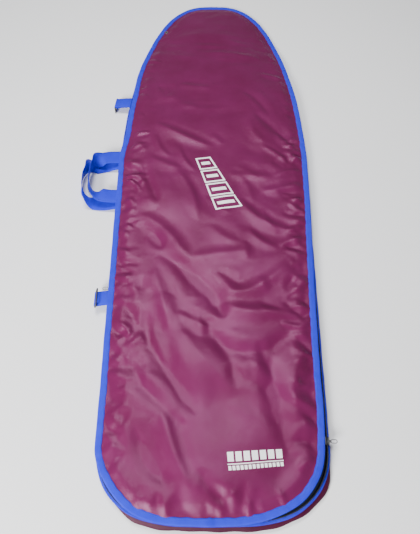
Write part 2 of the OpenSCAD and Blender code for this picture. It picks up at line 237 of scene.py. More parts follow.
def cloth_material(name, colour, light, roughness, weave, sheen=0.25, crinkle=1.0):
    """Closely woven cloth: a fine plain weave, small crinkles and uneven sheen. Works on the plan UVs."""
    m, t, b = new_material(name, colour, roughness, sheen=sheen, sheen_tint=light, specular=1.0)
    uv = uv_coords(t)
    warp = wave(t, uv, 0, weave)
    weft = wave(t, uv, 1, weave)
    threads = math_node(t, "MAXIMUM", warp, weft)
    cloud = noise(t, uv, 9.0, 4.0, 0.55)
    tint(t, b, colour, light, math_node(t, "MULTIPLY", cloud, 0.34))
    rough = math_node(t, "MULTIPLY_ADD", noise(t, uv, 30.0, 3.0), 0.22)
    rough.node.inputs[2].default_value = roughness - 0.11
    t.links.new(rough, b.inputs["Roughness"])
    crease = noise(t, uv, 19.0, 4.0, 0.55)
    first = bump(t, b, crease, 4.0 * MM * crinkle, 0.22)
    bump(t, b, threads, 0.12 * MM, 0.5, after=first)
    return m, t, b


def tape_material(name, colour, light, rib, roughness=0.55, sheen=0.3, along=1):
    """Ribbed narrow webbing or tape. UV x runs across it and UV y along it, in metres."""
    m, t, b = new_material(name, colour, roughness, sheen=sheen, sheen_tint=light, specular=0.35)
    uv = uv_coords(t)
    ribs = wave(t, uv, along, rib)
    cross = wave(t, uv, 1 - along, rib * 1.7)
    height = math_node(t, "MULTIPLY_ADD", cross, 0.35)
    t.links.new(ribs, height.node.inputs[2])
    patches = noise(t, uv, 38.0, 5.0, 0.6)
    factor = math_node(t, "MULTIPLY", math_node(t, "MULTIPLY", ribs, 0.5), patches)
    tint(t, b, colour, light, math_node(t, "ADD", factor, math_node(t, "MULTIPLY", patches, 0.25)))
    first = bump(t, b, noise(t, uv, 60.0, 3.0), 2.0 * MM, 0.35)
    bump(t, b, height, 0.35 * MM, 0.7, after=first)
    return m


def hard_material(name, colour, roughness, metallic):
    """Moulded plastic or cast metal: a fine grain, with scuffs that change the roughness."""
    m, t, b = new_material(name, colour, roughness, metallic=metallic)
    c = object_coords(t)
    scuffs = noise(t, c, 160.0, 6.0, 0.7)
    rough = math_node(t, "MULTIPLY_ADD", scuffs, 0.3)
    rough.node.inputs[2].default_value = roughness - 0.15
    t.links.new(rough, b.inputs["Roughness"])
    tint(t, b, colour, tuple(min(1.0, v * 1.5 + 0.02) for v in colour), scuffs)
    bump(t, b, noise(t, c, 900.0, 2.0), 0.08 * MM, 0.5)
    return m


MAROON = (0.082, 0.0045, 0.031)
MAROON_LIGHT = (0.24, 0.028, 0.155)
BLUE = (0.012, 0.014, 0.50)
BLUE_LIGHT = (0.035, 0.06, 0.92)


def top_material():
    """The top cloth, with a print of outlined slanting bars and, at the tail, two rows of blocks."""
    m, t, b = cloth_material("maroon_cloth_top", MAROON, MAROON_LIGHT, 0.34, 0.75 * MM)
    uv = uv_coords(t)
    split = t.nodes.new("ShaderNodeSeparateXYZ")
    t.links.new(uv, split.inputs[0])
    u, v = split.outputs[0], split.outputs[1]

    def add(*terms):
        total = None
        for value, factor in terms:
            term = value if factor is None else math_node(t, "MULTIPLY", value, factor)
            total = term if total is None else math_node(t, "ADD", total, term)
        return total

    def band(value, middle, half):
        """1 where value is within half of middle."""
        off = math_node(t, "ABSOLUTE", math_node(t, "SUBTRACT", value, middle))
        return math_node(t, "LESS_THAN", off, half)

    def both(*masks):
        total = masks[0]
        for mask in masks[1:]:
            total = math_node(t, "MULTIPLY", total, mask)
        return total

    def local(cx, cy, angle):
        c, s = math.cos(angle), math.sin(angle)
        du, dv = math_node(t, "SUBTRACT", u, cx), math_node(t, "SUBTRACT", v, cy)
        return add((du, c), (dv, s)), add((du, -s), (dv, c))

    def cells(value, count, pitch):
        """Distance from the middle of the nearest of count equal cells, and a mask of where they are."""
        shifted = math_node(t, "ADD", math_node(t, "DIVIDE", value, pitch), count / 2)
        part = math_node(t, "SUBTRACT", math_node(t, "FRACT", shifted), 0.5)
        return math_node(t, "MULTIPLY", part, pitch), band(value, 0.0, count * pitch / 2)

    # device: a slanting row of outlined bars
    along, across = local(0.007, 0.000, math.radians(-68))
    slanted = math_node(t, "ADD", along, math_node(t, "MULTIPLY", across, -0.22))
    off, inside = cells(slanted, 4, 50 * MM)
    reach = math_node(t, "MULTIPLY_ADD", along, 0.075)
    reach.node.inputs[2].default_value = 28.5 * MM
    past = math_node(t, "SUBTRACT", math_node(t, "ABSOLUTE", across), reach)
    outer = both(band(off, 0.0, 23.0 * MM), math_node(t, "LESS_THAN", past, 0.0), inside)
    hollow = both(band(off, 0.0, 18.2 * MM), math_node(t, "LESS_THAN", past, -4.6 * MM), inside)
    core = both(band(off, 0.0, 5.5 * MM), math_node(t, "LESS_THAN", past, -11 * MM), inside)
    device = math_node(t, "ADD", math_node(t, "SUBTRACT", outer, hollow), core)
    # tail print: a row of tall blocks over a thin rule and a row of small blocks
    along, across = local(0.096, -0.729, math.radians(3))
    big, inside = cells(along, 7, 17.4 * MM)
    tall = both(band(big, 0.0, 6.6 * MM), band(across, 9 * MM, 9.5 * MM), inside)
    rule = both(band(along, 0.0, 60 * MM), band(across, -5.5 * MM, 1.1 * MM))
    small, inside = cells(along, 14, 8.6 * MM)
    low = both(band(small, 0.0, 3.1 * MM), band(across, -13 * MM, 4.2 * MM), inside)
    print_mask = device
    for part in (tall, rule, low):
        print_mask = math_node(t, "MAXIMUM", print_mask, part)
    worn = math_node(t, "GREATER_THAN", noise(t, uv, 420.0, 4.0, 0.7), 0.33)
    print_mask = math_node(t, "MULTIPLY", print_mask, worn)
    cloth = b.inputs["Base Color"].links[0].from_socket
    n = t.nodes.new("ShaderNodeMix")
    n.data_type = "RGBA"
    n.inputs[7].default_value = (0.92, 0.92, 0.94, 1)
    t.links.new(print_mask, n.inputs[0])
    t.links.new(cloth, n.inputs[6])
    t.links.new(n.outputs[2], b.inputs["Base Color"])
    return m


M_TOP = top_material()
M_CLOTH = cloth_material("maroon_cloth", MAROON, MAROON_LIGHT, 0.42, 0.75 * MM)[0]
# The gusset cloth is a darker copy of the maroon cloth. This is painted shade, because the gusset lies under
# the lid's rim.
M_GUSSET_PAINTED_SHADE = cloth_material("maroon_cloth_gusset_painted_shade", (0.040, 0.002, 0.016), MAROON, 0.5, 0.75 * MM, 0.15)[0]
M_LINING = cloth_material("grey_lining", (0.20, 0.205, 0.22), (0.34, 0.35, 0.37), 0.6, 1.1 * MM, 0.1, 0.5)[0]
M_BINDING = tape_material("blue_binding", BLUE, BLUE_LIGHT, 1.5 * MM, 0.50)
M_WEBBING = tape_material("blue_webbing", BLUE, BLUE_LIGHT, 1.9 * MM, 0.48, along=1)
M_ZIP_TAPE = tape_material("black_zip_tape", (0.006, 0.007, 0.014), (0.03, 0.034, 0.06), 0.9 * MM, 0.6, 0.15)
M_COIL = hard_material("black_coil", (0.010, 0.011, 0.016), 0.30, 0.0)
M_THREAD = tape_material("blue_thread", (0.040, 0.055, 0.50), (0.12, 0.2, 0.85), 0.5 * MM, 0.6)
M_METAL = hard_material("dark_zip_metal", (0.13, 0.13, 0.14), 0.38, 1.0)
M_EYELET = hard_material("nickel_eyelet", (0.72, 0.73, 0.75), 0.24, 1.0)
M_PLASTIC = hard_material("black_ring_plastic", (0.012, 0.012, 0.014), 0.42, 0.0)


# ---------------------------------------------------------------- mesh helpers
def make_object(name, verts, faces, material, uvs=None, shade=True):
    me = bpy.data.meshes.new(name)
    me.from_pydata([tuple(map(float, p)) for p in verts], [], [tuple(map(int, f)) for f in faces])
    me.materials.append(material)
    layer = me.uv_layers.new(name="plan")
    uvs = np.asarray(uvs if uvs is not None else np.asarray(verts)[:, :2], float)
    index = np.empty(len(me.loops), int)
    me.loops.foreach_get("vertex_index", index)
    layer.data.foreach_set("uv", uvs[index].astype(np.float32).ravel())
    if shade:
        me.shade_smooth()
    me.update()
    o = bpy.data.objects.new(name, me)
    bpy.context.collection.objects.link(o)
    return o


def arc_points(points, step):
    """The polyline resampled at even steps."""
    points = np.asarray(points, float)
    length = np.r_[0, np.cumsum(np.linalg.norm(np.diff(points, axis=0), axis=1))]
    count = max(int(round(length[-1] / step)), 2)
    at = np.linspace(0, length[-1], count + 1)
    return np.stack([np.interp(at, length, points[:, k]) for k in range(points.shape[1])], 1), at


def rim_path(from_y, end, step=5 * MM):
    """Points round one end of the bag, from the right of from_y to the left of it, with outward normals."""
    if end == "tail":
        turn = ROUND_Y - (ROUND_Y - Y_TAIL) * np.sin(np.linspace(0, math.pi / 2, 90))
        ys = np.r_[np.linspace(from_y, ROUND_Y, 240)[:-1], turn]
    else:
        start = math.asin((from_y - WIDE_Y) / (Y_NOSE - WIDE_Y))
        ys = WIDE_Y + (Y_NOSE - WIDE_Y) * np.sin(np.linspace(start, math.pi / 2, 160))
        ys[0] = from_y
    xs = half_w(ys)
    line = np.r_[np.c_[xs, ys], np.c_[-xs, ys][::-1][1:]]
    line, at = arc_points(line, step)
    d = np.gradient(line, axis=0)
    d /= np.linalg.norm(d, axis=1)[:, None]
    n = np.c_[-d[:, 1], d[:, 0]]
    n *= np.sign((n * (line - [0, 0.0 if end == "nose" else -0.4])).sum(1))[:, None]
    return line, n, at


def wander(at, seed, wavelengths, size):
    """A smooth random line along a length."""
    r = np.random.default_rng(seed)
    total = np.zeros_like(at)
    for w in wavelengths:
        total += np.sin(2 * math.pi * at / w * r.uniform(0.8, 1.25) + r.uniform(0, 6.3)) * r.uniform(0.6, 1.2)
    return total * size / math.sqrt(len(wavelengths))


def sweep(name, rows, uv_across, at, material, closed=False):
    """Joins rows of points, one row for each place along a length."""
    rows = np.asarray(rows)
    count, width = rows.shape[:2]
    index = np.arange(count * width).reshape(count, width)
    a, b = index[:-1], index[1:]
    faces = np.stack([a[:, :-1], a[:, 1:], b[:, 1:], b[:, :-1]], -1).reshape(-1, 4)
    if closed:
        faces = np.r_[faces, np.stack([a[:, -1], a[:, 0], b[:, 0], b[:, -1]], -1)]
    faces = [tuple(f) for f in faces]
    if closed:
        faces += [tuple(index[0][::-1]), tuple(index[-1])]
    shape = (count, width)
    uvs = np.stack([np.broadcast_to(uv_across, shape), np.broadcast_to(at[:, None], shape)], -1)
    return make_object(name, rows.reshape(-1, 3), faces, material, uvs.reshape(-1, 2))


def thread(name, points, normals, material, pitch=3.6 * MM, length=2.5 * MM, seed=1):
    """A row of separate stitches along a 3D line that lies on a surface."""
    radius = 0.42 * MM
    points, _ = arc_points(np.c_[points, normals], pitch)
    normals = points[:, 3:] / np.linalg.norm(points[:, 3:], axis=1)[:, None]
    points = points[:, :3]
    d = np.gradient(points, axis=0)
    d /= np.linalg.norm(d, axis=1)[:, None]
    side = np.cross(normals, d)
    r = np.random.default_rng(seed)
    verts, faces, uvs = [], [], []
    ends = ((-0.5, 0.0), (-0.34, 0.9), (0.0, 1.0), (0.34, 0.9), (0.5, 0.0))
    for k in range(len(points)):
        base = len(verts)
        turn = r.normal(0, 0.06)
        along = d[k] * math.cos(turn) + side[k] * math.sin(turn)
        across = np.cross(normals[k], along)
        for share, fat in ends:
            centre = points[k] + along * share * length - normals[k] * radius * (0.9 - 0.75 * fat)
            for q in range(5):
                angle = 2 * math.pi * q / 5
                off = across * math.cos(angle) + normals[k] * math.sin(angle) * 0.75
                verts.append(centre + off * radius * (0.25 + 0.75 * fat))
                uvs.append((q * 0.3 * MM, share * length))
        for i in range(len(ends) - 1):
            for q in range(5):
                a, b = base + i * 5 + q, base + i * 5 + (q + 1) % 5
                faces.append((a, b, b + 5, a + 5))
    return make_object(name, verts, faces, material, uvs)


# ---------------------------------------------------------------- folds of the top panel
# Each big fold: the points it runs through on the plan, its half-width and its height in mm
# (a valley is negative). All the heights are multiplied by BIG_FOLD_HEIGHT.
BIG_FOLD_HEIGHT = 1.18
BIG_FOLDS = [
    ([(-0.135, -0.225), (-0.02, -0.335), (0.03, -0.415)], 13, -6.5),
    ([(-0.155, -0.465), (-0.09, -0.555), (-0.03, -0.64)], 14, -7.0),
    ([(-0.10, -0.345), (-0.07, -0.44), (0.06, -0.60)], 26, 5.0),
    ([(-0.200, 0.075), (-0.175, 0.00), (-0.150, -0.065)], 7, -3.2),
    ([(-0.215, -0.37), (-0.18, -0.42), (-0.145, -0.47)], 9, -4.0),
    ([(-0.02, -0.41), (0.03, -0.49), (0.085, -0.575)], 12, -4.0),
    ([(-0.105, -0.63), (-0.085, -0.69), (-0.045, -0.785)], 14, 5.0),
    ([(0.03, -0.372), (0.11, -0.394), (0.245, -0.372)], 17, 5.0),
    ([(0.035, -0.312), (0.09, -0.337), (0.215, -0.240)], 15, 4.5),
    ([(0.01, -0.455), (0.085, -0.497), (0.205, -0.450)], 12, -4.0),
    ([(0.20, -0.44), (0.140, -0.54), (0.175, -0.735)], 13, -4.5),
    ([(0.215, -0.50), (0.185, -0.575), (0.195, -0.65)], 20, 4.5),
    ([(0.07, -0.055), (0.13, -0.126), (0.230, -0.165)], 13, 4.0),
    ([(-0.18, 0.230), (-0.10, 0.178), (0.0, 0.134)], 12, 3.8),
    ([(-0.16, -0.165), (-0.145, -0.190), (-0.125, -0.215)], 8, -3.0),
    ([(-0.20, -0.105), (-0.126, -0.158), (-0.055, -0.260)], 16, 4.2),
    ([(-0.150, -0.265), (-0.120, -0.36), (-0.100, -0.44)], 16, 3.6),
    ([(-0.19, -0.56), (-0.14, -0.587), (-0.10, -0.63)], 10, -3.2),
    ([(-0.17, -0.645), (-0.13, -0.73), (-0.09, -0.78)], 11, -3.8),
    ([(-0.11, 0.05), (-0.06, -0.03), (-0.04, -0.135)], 11, 2.6),
    ([(0.125, 0.270), (0.185, 0.202), (0.245, 0.130)], 10, -3.0),
    ([(0.045, 0.03), (0.10, 0.024), (0.165, 0.018)], 12, 2.2),
    ([(0.135, -0.028), (0.19, -0.02), (0.245, 0.005)], 10, 3.0),
    ([(-0.03, -0.745), (0.0, -0.785), (0.04, -0.815)], 8, -3.0),
    ([(-0.235, -0.528), (-0.19, -0.478), (-0.15, -0.44)], 11, 3.2),
    ([(0.10, 0.33), (0.13, 0.20), (0.16, 0.12)], 22, 2.2),
    ([(-0.19, 0.40), (-0.12, 0.33), (-0.05, 0.30)], 18, 2.0),
    ([(-0.03, 0.565), (0.07, 0.552), (0.165, 0.532)], 15, 2.8),
    ([(-0.11, 0.402), (-0.06, 0.388), (-0.01, 0.385)], 13, 2.6),
    ([(0.15, 0.455), (0.19, 0.450), (0.235, 0.425)], 8, 2.4),
    ([(0.09, 0.370), (0.14, 0.322), (0.17, 0.255)], 7, -2.4),
    ([(-0.245, 0.125), (-0.225, 0.140), (-0.195, 0.150)], 6, 2.6),
    ([(-0.225, 0.545), (-0.20, 0.535), (-0.17, 0.520)], 6, 2.0),
    ([(0.185, 0.190), (0.21, 0.152), (0.245, 0.120)], 7, 2.6),
    ([(-0.18, 0.43), (-0.15, 0.355), (-0.13, 0.42)], 7, -1.8),
    ([(-0.15, 0.655), (-0.04, 0.665), (0.09, 0.650)], 24, 2.0),
    ([(-0.075, 0.02), (-0.02, -0.06), (0.03, -0.10)], 16, -2.2),
    ([(-0.05, -0.245), (0.01, -0.235), (0.10, -0.225)], 14, 2.4),
    ([(0.12, -0.37), (0.17, -0.385), (0.25, -0.395)], 6, -2.4),
]


def fold_height(x, y, points, width, height):
    """A crease along a curve: steep on one side, easy on the other, and gone at its ends."""
    a, m, b = (np.array(p) for p in points)
    control = 2 * m - (a + b) / 2
    t = np.linspace(0, 1, 30)[:, None]
    curve = (1 - t) ** 2 * a + 2 * t * (1 - t) * control + t ** 2 * b
    best = np.full(len(x), 1e9)
    where = np.zeros(len(x))
    side = np.zeros(len(x))
    for k in range(29):
        p, d = curve[k], curve[k + 1] - curve[k]
        share = clamp(((x - p[0]) * d[0] + (y - p[1]) * d[1]) / (d @ d))
        ox, oy = x - p[0] - share * d[0], y - p[1] - share * d[1]
        far = np.hypot(ox, oy)
        closer = far < best
        best[closer] = far[closer]
        where[closer] = ((k + share) / 29)[closer]
        side[closer] = ((d[0] * oy - d[1] * ox) / (np.linalg.norm(d) * np.maximum(far, 1e-6)))[closer]
    ends = 1 - np.abs(2 * where - 1) ** 3
    w = width * (0.5 + 0.5 * ends) * (1.05 - 0.45 * np.sign(height) * smooth(side * 0.5 + 0.5) + 0.25)
    shape = np.exp(-(best / w) ** 1.55) - 0.30 * np.exp(-((best - 2.1 * w) / (1.1 * w)) ** 2)
    return height * ends * shape


def swell(x, y):
    """Slow, broad unevenness of the filling."""
    r = np.random.default_rng(61)
    total = np.zeros(len(x))
    for _ in range(9):
        angle, period = r.uniform(0, math.pi), r.uniform(0.13, 0.34)
        along = x * math.cos(angle) + y * math.sin(angle)
        total += np.sin(along * 2 * math.pi / period + r.uniform(0, 6.3)) * period
    return total * 0.0052 * smooth((0.55 - y) / 0.5)


def random_folds(count, seed, place, angles, lengths, widths, heights):
    """Shorter folds, as (points, width, height)."""
    r = np.random.default_rng(seed)
    folds = []
    while len(folds) < count:
        x, y, lean = place(r)
        angle = lean + r.uniform(*angles)
        length = r.uniform(*lengths)
        d = np.array([math.cos(angle), math.sin(angle)]) * length / 2
        sideways = np.array([-d[1], d[0]]) * r.uniform(-0.3, 0.3)
        c = np.array([x, y])
        sign = 1 if r.uniform() < 0.6 else -1
        folds.append(([c - d, c + sideways, c + d], r.uniform(*widths), sign * r.uniform(*heights)))
    return folds


def all_folds():
    folds = [(p, w * MM, h * BIG_FOLD_HEIGHT * MM) for p, w, h in BIG_FOLDS]

    def by_rim(lo, hi, inset):
        def place(r):
            y = r.uniform(lo, hi)
            side = 1 if r.uniform() < 0.5 else -1
            w = float(half_w(np.array(y)))
            slope = float(half_w(np.array(y + MM)) - half_w(np.array(y - MM))) / (2 * MM)
            lean = math.pi + math.atan(slope) if side > 0 else -math.atan(slope)
            return side * (w - r.uniform(*inset)), y, lean
        return place

    def by_tail(r):
        return r.uniform(-0.16, 0.16), Y_TAIL + r.uniform(0.025, 0.045), math.pi / 2

    def middle(r):
        return r.uniform(-0.19, 0.19), r.uniform(-0.74, 0.20), math.radians(-52)

    def nose(r):
        y = r.uniform(0.26, 0.80)
        w = float(half_w(np.array(y))) - 0.05
        return r.uniform(-w, w), y, math.radians(-80)

    folds += random_folds(125, 21, by_rim(-0.76, 0.20, (0.022, 0.055)), (-0.9, 0.9),
                          (0.025, 0.090), (0.0045, 0.0105), (0.0015, 0.0042))
    folds += random_folds(42, 22, by_rim(0.20, 0.74, (0.020, 0.040)), (-0.6, 0.6),
                          (0.018, 0.050), (0.0045, 0.0085), (0.0007, 0.0019))
    folds += random_folds(26, 23, by_tail, (-0.6, 0.6), (0.030, 0.095), (0.0045, 0.0105), (0.0009, 0.0022))
    folds += random_folds(46, 24, middle, (-0.55, 0.55), (0.04, 0.13), (0.0055, 0.0140), (0.0010, 0.0029))
    folds += random_folds(14, 25, nose, (1.1, 1.7), (0.06, 0.18), (0.009, 0.020), (0.0008, 0.0017))
    return folds


def add_folds(x, y, z):
    inside = smooth((edge_d(x, y) - 0.0135) / 0.006)
    seam = smooth(np.abs(y - Y_FOLD) / 0.022)
    total = swell(x, y) * smooth((edge_d(x, y) - 0.03) / 0.06)
    for points, width, height in all_folds():
        reach = 3.2 * width + 0.5 * np.linalg.norm(np.array(points[2]) - np.array(points[0]))
        near = np.hypot(x - points[1][0], y - points[1][1]) < reach
        if near.any():
            total[near] += fold_height(x[near], y[near], points, width, height)
    return z + total * inside * seam


# ---------------------------------------------------------------- padded panels
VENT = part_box("vent_eyelet")
VENT_XY = [(VENT[0][k] + VENT[1][k]) / 2 for k in (0, 1)]


def plan_mesh(y0, y1, spacing, inset, seed):
    """Points and triangles that fill the outline between two places, evenly."""
    ys = np.unique(np.r_[np.linspace(max(y0, Y_TAIL + inset), min(y1, Y_NOSE - inset), 700),
                         Y_TAIL + inset + 0.05 * np.linspace(0, 1, 60) ** 3,
                         Y_NOSE - inset - 0.05 * np.linspace(0, 1, 60) ** 3])
    ys = ys[(ys >= y0) & (ys <= y1)]
    slope = np.gradient(half_w(ys), ys)
    w = half_w(ys)
    n = np.c_[np.ones_like(ys), -slope] / np.sqrt(1 + slope ** 2)[:, None]
    right = np.c_[w - n[:, 0] * inset, ys - n[:, 1] * inset]
    right = right[(right[:, 0] > 0.004)]
    loop = np.r_[right, (right * [-1, 1])[::-1]]
    loop, _ = arc_points(np.r_[loop, loop[:1]], spacing)
    loop = loop[:-1]
    r = np.random.default_rng(seed)
    inner = []
    for j, y in enumerate(np.arange(loop[:, 1].min() + spacing * 0.7, loop[:, 1].max() - spacing * 0.5,
                                    spacing * 0.866)):
        w = float(half_w(np.array(y))) - inset - spacing * 0.8
        if w > spacing:
            x = np.arange(-w + (spacing / 2 if j % 2 else 0), w, spacing)
            inner.append(np.c_[x + r.uniform(-0.14, 0.14, len(x)) * spacing,
                               y + r.uniform(-0.14, 0.14, len(x)) * spacing])
    inner = np.concatenate(inner)
    # keep clear of the outline
    inner = inner[edge_d(inner[:, 0], inner[:, 1]) > inset + spacing * 0.45]
    inner = inner[np.hypot(inner[:, 0] - VENT_XY[0], inner[:, 1] - VENT_XY[1]) > 6 * MM + spacing * 0.5]
    turn = np.linspace(0, 2 * math.pi, 13)[:-1]
    for radius in (3.6 * MM, 6 * MM):
        inner = np.r_[inner, np.c_[VENT_XY[0] + radius * np.cos(turn), VENT_XY[1] + radius * np.sin(turn)]]
    count = len(loop)
    points = [Vector(p) for p in np.r_[loop, inner]]
    v, _, f, *_ = delaunay_2d_cdt(points, [(i, (i + 1) % count) for i in range(count)],
                                  [list(range(count))], 1, 1e-6)
    v = np.array([tuple(p) for p in v])
    f = [c for c in f if np.hypot(*(v[list(c)].mean(0) - VENT_XY)) > 3.4 * MM]
    return v, f


def round_vent(x, y, z, level):
    """Presses a sheet flat under the vent's flange."""
    far = smooth((np.hypot(x - VENT_XY[0], y - VENT_XY[1]) - 6 * MM) / (10 * MM))
    return mix(level, z, far)


SIM_FRAMES = 12
MOST_SHIFT = 9 * MM


def settle(o, pinned, goal, growth):
    """Lets the cloth find its own folds: its rim is held, and it is cut a little larger than the space."""
    held = o.vertex_groups.new(name="held")
    held.add([int(i) for i in np.where(pinned)[0]], 1.0, "REPLACE")
    held.add([int(i) for i in np.where(~pinned)[0]], goal, "REPLACE")
    co = np.empty(len(o.data.vertices) * 3)
    o.data.vertices.foreach_get("co", co)
    co = co.reshape(-1, 3)
    o.shape_key_add(name="Basis")
    rest = o.shape_key_add(name="rest")
    shear = 0.05 * smooth((0.25 - co[:, 1]) / 0.3) * smooth((co[:, 1] + 0.80) / 0.1)
    rest.data.foreach_set("co", np.c_[co[:, 0] * (1 + growth), co[:, 1] * (1 + growth) - shear * co[:, 0],
                                      co[:, 2] * (1 + growth)].ravel())
    m = o.modifiers.new("cloth", "CLOTH")
    s = m.settings
    s.quality, s.mass, s.air_damping = 5, 0.2, 2
    s.tension_stiffness = s.compression_stiffness = 25
    s.shear_stiffness, s.bending_stiffness = 12, 0.6
    s.tension_damping = s.compression_damping = s.shear_damping = 10
    s.bending_damping = 1
    s.vertex_group_mass = "held"
    s.pin_stiffness = 1
    s.use_pressure = True
    s.uniform_pressure_force = 0.25
    s.effector_weights.gravity = 0
    s.rest_shape_key = rest
    m.point_cache.frame_start, m.point_cache.frame_end = 1, SIM_FRAMES
    for f in range(1, SIM_FRAMES + 1):
        bpy.context.scene.frame_set(f)
    graph = bpy.context.evaluated_depsgraph_get()
    moved = np.empty(len(co) * 3)
    o.evaluated_get(graph).data.vertices.foreach_get("co", moved)
    moved = moved.reshape(-1, 3)
    bpy.context.scene.frame_set(1)
    o.modifiers.remove(m)
    o.shape_key_clear()
    shift = np.clip(moved - co, -MOST_SHIFT, MOST_SHIFT)
    o.data.vertices.foreach_set("co", (co + shift).ravel())
    o.data.update()
    return co + shift


def top_panel():
    xy, faces = plan_mesh(Y_TAIL, Y_NOSE, (5.6) * MM, 5 * MM, 31)
    x, y = xy[:, 0], xy[:, 1]
    z = round_vent(x, y, add_folds(x, y, cover_z(x, y)), VENT[1][2] - 0.9 * MM)
    moved = np.c_[(*lid_place(x, y), z)]
    o = make_object("top_panel", moved, faces, M_TOP, xy)
    d = edge_d(x, y)
    near_vent = np.hypot(x - VENT_XY[0], y - VENT_XY[1]) < 9 * MM
    out = settle(o, (d < 0.0145) | near_vent, 0.02, 0.006)
    deepest = 0.1 * MM + 5 * MM * smooth((d - 0.016) / 0.022)
    out[:, 2] = np.maximum(out[:, 2], cover_z(x, y) - np.where(near_vent, 9 * MM, deepest))
    o.data.vertices.foreach_set("co", out.ravel())
    o.data.update()
    moved = out
    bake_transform(o)
    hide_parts("lid_shell", "lid_foam", "nose_shell", "nose_foam")


top_panel()


def lining_top():
    """The grey lining under the lid and in the nose pocket."""
    xy, faces = plan_mesh(Y_TAIL, Y_NOSE, (7) * MM, 8 * MM, 32)
    x, y = xy[:, 0], xy[:, 1]
    quilt = 0.5 * MM * np.sin(x * 70 + 2 * np.sin(y * 9)) * np.sin(y * 23 + x * 11)
    drop = 1.4 * MM + (FOAM_T + 0.8 * MM) * smooth((edge_d(x, y) - 0.016) / 0.02)
    # more room under the panel at the fold, where both bend round the hinge
    drop = drop + 6 * MM * np.exp(-((y - Y_FOLD) / 0.018) ** 2) * smooth((edge_d(x, y) - 0.010) / 0.010)
    drop = drop + 3 * MM * np.exp(-((y - Y_FOLD) / 0.009) ** 2)
    z = cover_z(x, y) - drop + quilt * smooth((edge_d(x, y) - 0.03) / 0.03) - 0.6 * MM
    z = round_vent(x, y, z, VENT[0][2] + 1.2 * MM)
    o = make_object("top_lining", np.c_[(*lid_place(x, y), z)], [f[::-1] for f in faces], M_LINING, xy)
    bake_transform(o)
    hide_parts("lid_lining", "nose_lining")


def bottom_panels():
    xy, faces = plan_mesh(Y_TAIL, Y_NOSE, 11 * MM, 5 * MM, 33)
    x, y = xy[:, 0], xy[:, 1]
    inside = smooth((edge_d(x, y) - 0.015) / 0.02)
    rim = BASE_Z + TAPE_T + 0.2 * MM
    ripple = np.zeros(len(x))
    for points, width, height in random_folds(
            90, 41, lambda r: (r.uniform(-0.23, 0.23), r.uniform(-0.8, 0.75), 0.4), (-1.5, 1.5),
            (0.04, 0.2), (0.006, 0.018), (0.0008, 0.0018)):
        ripple += np.maximum(fold_height(x, y, points, width, abs(height)), 0)
    z = rim * (1 - inside) + 0.15 * MM + ripple * inside
    o = make_object("bottom_panel", np.c_[x, y, z], [f[::-1] for f in faces], M_CLOTH, xy)
    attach(o, "base")
    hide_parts("bottom_shell", "bottom_foam")
    z = rim + 1.1 * MM + (FOAM_T - 0.8 * MM) * inside
    z += 0.5 * MM * np.sin(x * 60 + 3 * np.sin(y * 7)) * np.sin(y * 19 + x * 13) * inside
    o = make_object("bottom_lining_sheet", np.c_[x, y, z], faces, M_LINING, xy)
    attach(o, "base")
    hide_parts("bottom_lining")


lining_top()
bottom_panels()


# ---------------------------------------------------------------- bindings
def binding(name, cad_node, body, from_y, end, z0, z1, seed, tucked=False):
    """Tape folded round the seam: a channel with soft edges, slightly uneven, with a row of stitches."""
    line, n, at = rim_path(from_y, end, 4 * MM)
    y = line[:, 1].copy()
    lower, upper = z0(y), z1(y)
    if tucked:
        line = np.c_[lid_place(line[:, 0], y)]
    ends = smooth(at / 0.03) * smooth((at[-1] - at) / 0.03)
    sway = wander(at, seed, (0.31, 0.17, 0.09), 0.4 * MM) * ends
    lift = wander(at, seed + 1, (0.12, 0.05, 0.026), 0.30 * MM) * ends
    edge = wander(at, seed + 2, (0.21, 0.06, 0.03), 0.6 * MM)
    t = TAPE_T
    r = min(2.0 * MM, float((upper - lower).min()) / 2)
    rows = []
    across = []
    for k in range(len(line)):
        w = BINDING_W + edge[k]
        lo, hi = lower[k], upper[k] + lift[k]
        section = [(w, hi - t), (w + 0.3 * MM, hi - t * 0.4), (w - 0.5 * MM, hi + 0.05 * MM),
                   (w * 0.66, hi + 0.25 * MM), (w * 0.3, hi + 0.1 * MM), (r, hi - 0.1 * MM),
                   (r * 0.3, hi - r * 0.35), (0, hi - r), (-0.15 * MM, (lo + hi) / 2),
                   (0, lo + r), (r * 0.3, lo + r * 0.35), (r, lo), (w * 0.4, lo),
                   (w, lo), (w, lo + t), (w * 0.4, lo + t), (t * 1.4, lo + t), (t * 1.4, hi - t)]
        rows.append([(line[k, 0] - n[k, 0] * (s[0] + sway[k]), line[k, 1] - n[k, 1] * (s[0] + sway[k]), s[1])
                     for s in section])
        if k == 0:
            p = np.array(section)
            across = np.r_[0, np.cumsum(np.linalg.norm(np.diff(p, axis=0), axis=1))]
    o = sweep(name, rows, across, at, M_BINDING, closed=True)
    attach(o, body)
    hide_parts(cad_node)
    inset = BINDING_W - 3 * MM + sway + edge
    p = np.c_[line - n * inset[:, None], upper + lift + 0.35 * MM]
    o = thread(name + "_stitches", p, np.tile([0, 0, 1.0], (len(p), 1)), M_THREAD, seed=seed)
    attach(o, body)


binding("lid_edge_tape", "lid_binding", "lid", Y_FOLD - 0.5 * MM, "tail", top_z,
        lambda y: top_z(y) + FIN_H, 51, tucked=True)
# the gusset's tape is a little thinner than its CAD solid, to stay clear of the sliders
SLIDER_ROOM = 0.35 * MM
binding("gusset_edge_tape", "gusset_binding", "base", Y_FOLD, "tail", low_z,
        lambda y: low_z(y) + FIN_H - SLIDER_ROOM, 54)
binding("bottom_edge_tape", "bottom_binding", "base", Y_FOLD, "tail", lambda y: BASE_Z + 0 * y,
        lambda y: BASE_Z + FIN_H + 0 * y, 57)
binding("nose_edge_tape", "nose_binding", "base", Y_FOLD + 0.5 * MM, "nose", lambda y: BASE_Z + 0 * y,
        nose_top, 60)


